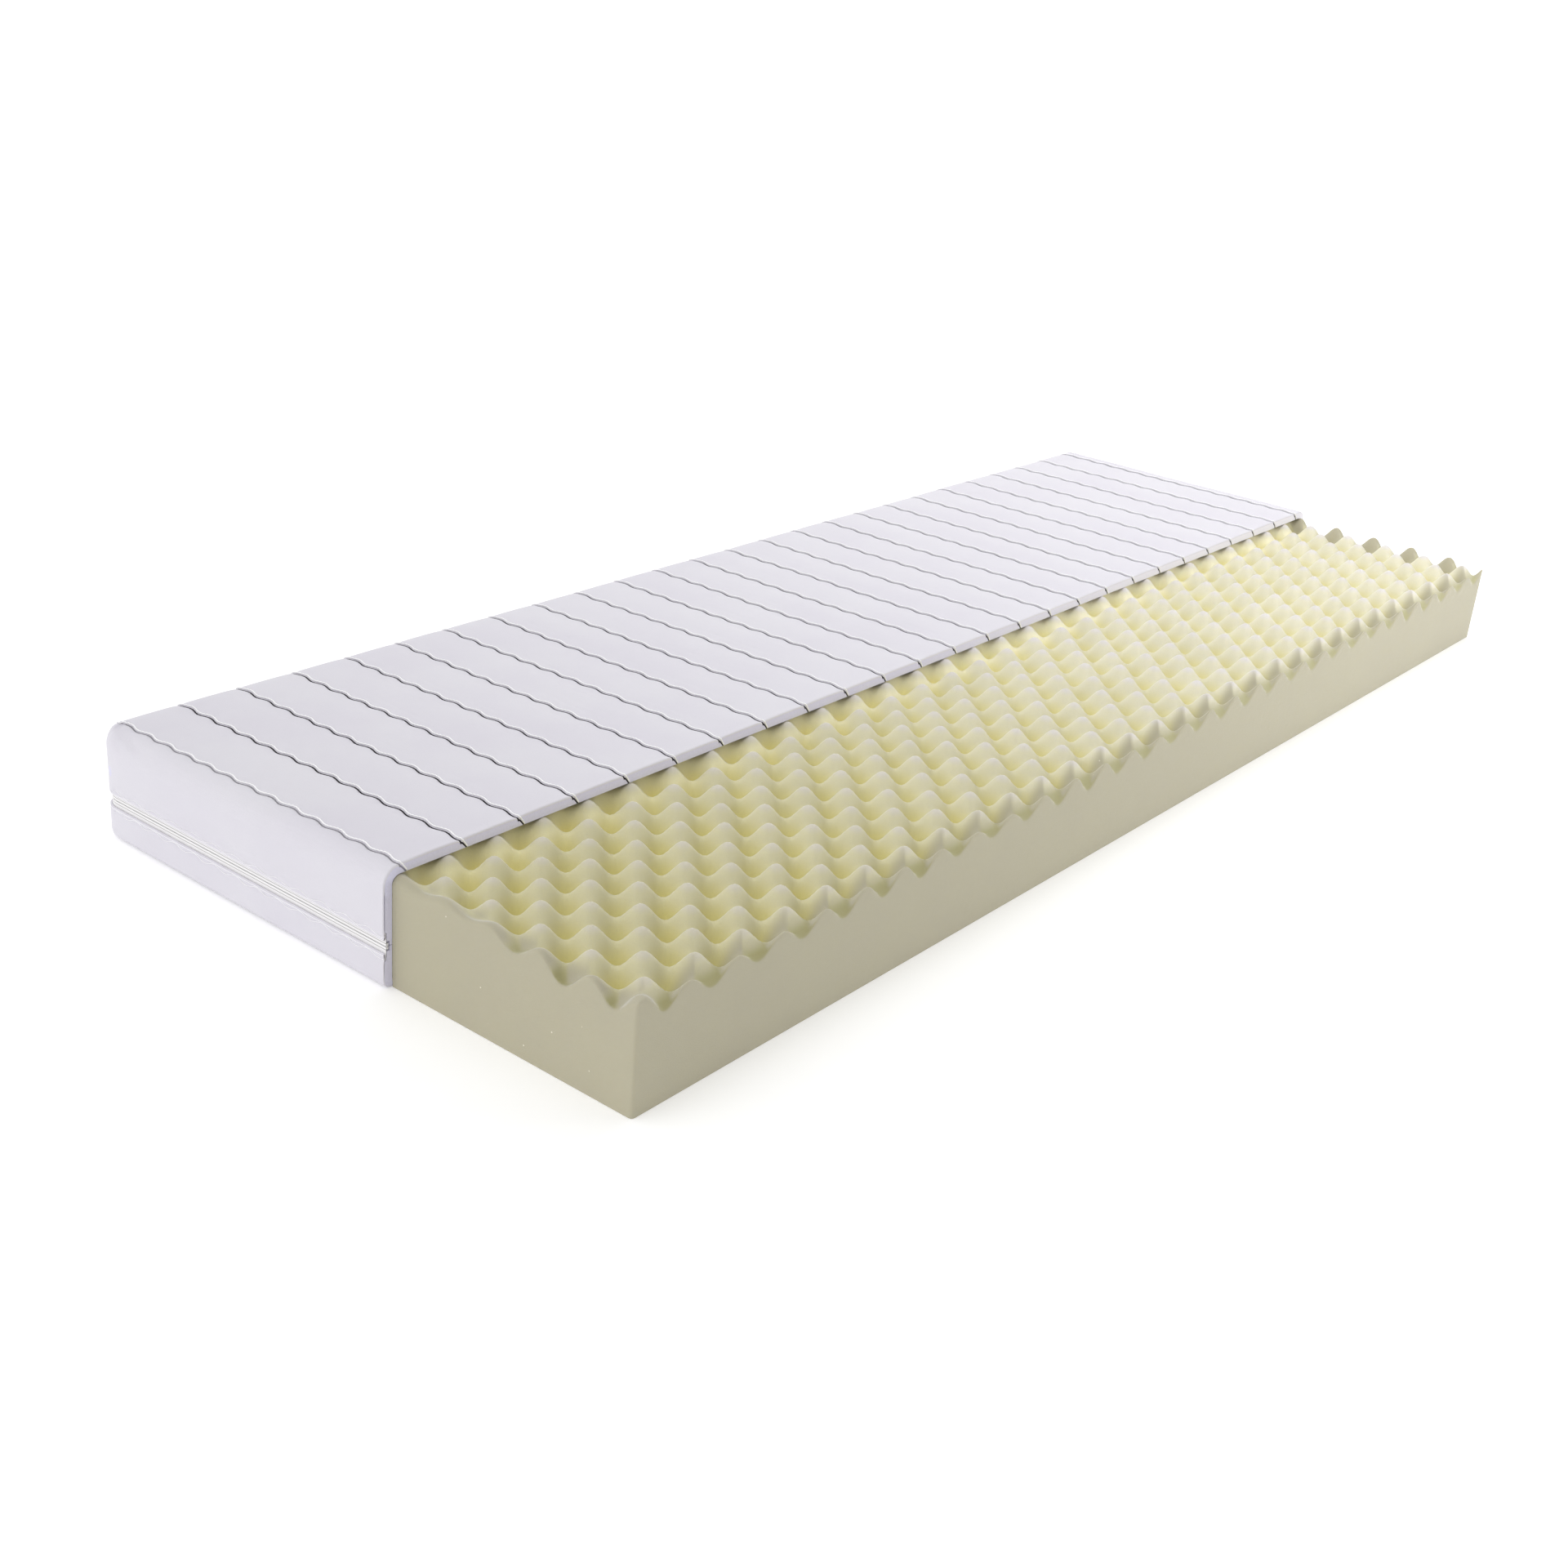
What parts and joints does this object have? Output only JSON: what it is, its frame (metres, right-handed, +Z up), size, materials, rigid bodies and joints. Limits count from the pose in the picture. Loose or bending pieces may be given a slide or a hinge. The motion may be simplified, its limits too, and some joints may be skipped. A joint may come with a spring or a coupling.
{
  "type": "foam mattress",
  "caption": "Cutaway foam mattress: convoluted cream foam core, part covered by a white quilted zip-off cover whose upper half lifts away.",
  "frame": {"origin": "centre of the base the mattress lies on", "axes": "+Y from the foot end to the head end, +X to the bare side of the core, +Z up"},
  "size_m": [0.788, 2, 0.1323],
  "materials": {
    "foam": "matte",
    "cover_fabric": "matte",
    "wadding": "matte",
    "backing": "matte",
    "thread": "satin",
    "zip_tape": "matte",
    "zip_coil": "satin",
    "zip_metal": "satin"
  },
  "bodies": {
    "lower_assembly": {"foam_core": "foam", "lower_cover_face_fabric": "cover_fabric", "lower_cover_wadding": "wadding", "lower_cover_backing": "backing", "lower_zip_tape": "zip_tape", "lower_zip_coil": "zip_coil", "lower_zip_seam_thread": "thread", "lower_foot_skirt_thread": "thread", "lower_foot_corner_seam": "thread", "lower_head_corner_seam": "thread"},
    "upper_cover": {"upper_cover_face_fabric": "cover_fabric", "upper_cover_wadding": "wadding", "upper_cover_backing": "backing", "upper_zip_tape": "zip_tape", "upper_zip_coil": "zip_coil", "upper_zip_seam_thread": "thread", "upper_foot_skirt_thread": "thread", "upper_head_skirt_thread": "thread", "upper_foot_corner_seam": "thread", "upper_head_corner_seam": "thread", "quilting_thread_01": "thread", "quilting_thread_02": "thread", "quilting_thread_03": "thread", "quilting_thread_04": "thread", "quilting_thread_05": "thread", "quilting_thread_06": "thread", "quilting_thread_07": "thread", "quilting_thread_08": "thread", "quilting_thread_09": "thread", "quilting_thread_10": "thread", "quilting_thread_11": "thread", "quilting_thread_12": "thread", "quilting_thread_13": "thread", "quilting_thread_14": "thread", "quilting_thread_15": "thread", "quilting_thread_16": "thread", "quilting_thread_17": "thread", "quilting_thread_18": "thread", "quilting_thread_19": "thread", "quilting_thread_20": "thread", "quilting_thread_21": "thread", "quilting_thread_22": "thread", "quilting_thread_23": "thread", "quilting_thread_24": "thread", "quilting_thread_25": "thread", "quilting_thread_26": "thread"},
    "zip_slider": {"zip_slider_body": "zip_metal"},
    "pull_tab": {"zip_pull_tab": "zip_metal"}
  },
  "joints": [
    {"name": "upper_cover_lift", "type": "slide", "parent": "lower_assembly", "child": "upper_cover", "axis": [0, 0, 1], "range_m": [0, 0.15]},
    {"name": "slider_travel", "type": "slide", "parent": "lower_assembly", "child": "zip_slider", "axis": [0, 1, 0], "range_m": [0, 1.86]},
    {"name": "pull_tab_turn", "type": "hinge", "parent": "zip_slider", "child": "pull_tab", "pos_m": [-0.39205, -0.93, 0.047], "axis": [0, 0, 1], "range_deg": [0, 180]}
  ]
}
